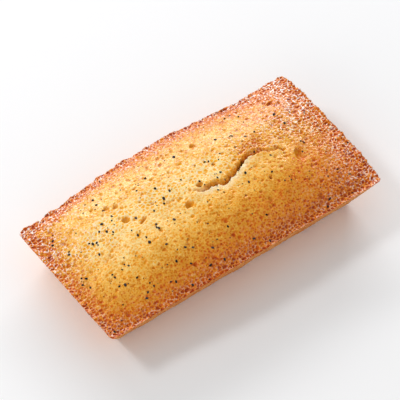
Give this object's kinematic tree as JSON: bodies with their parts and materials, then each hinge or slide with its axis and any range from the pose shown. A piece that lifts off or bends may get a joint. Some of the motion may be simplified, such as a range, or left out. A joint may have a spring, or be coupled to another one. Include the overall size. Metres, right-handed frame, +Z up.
{
  "type": "financier cake",
  "caption": "Rectangular almond tea cake with sloping mould-formed walls, a thin uneven rim and a domed, pitted, split crust.",
  "frame": {"origin": "on the table, under the middle of the cake's bounding box", "axes": "+X along the cake, +Y across it, +Z up through the domed crust"},
  "size_m": [0.0842, 0.0434, 0.0178],
  "materials": {
    "baked_crust": "golden almond crust, red-brown at the rim, slightly buttery"
  },
  "bodies": {
    "root": {"financier": "baked_crust"}
  },
  "joints": []
}
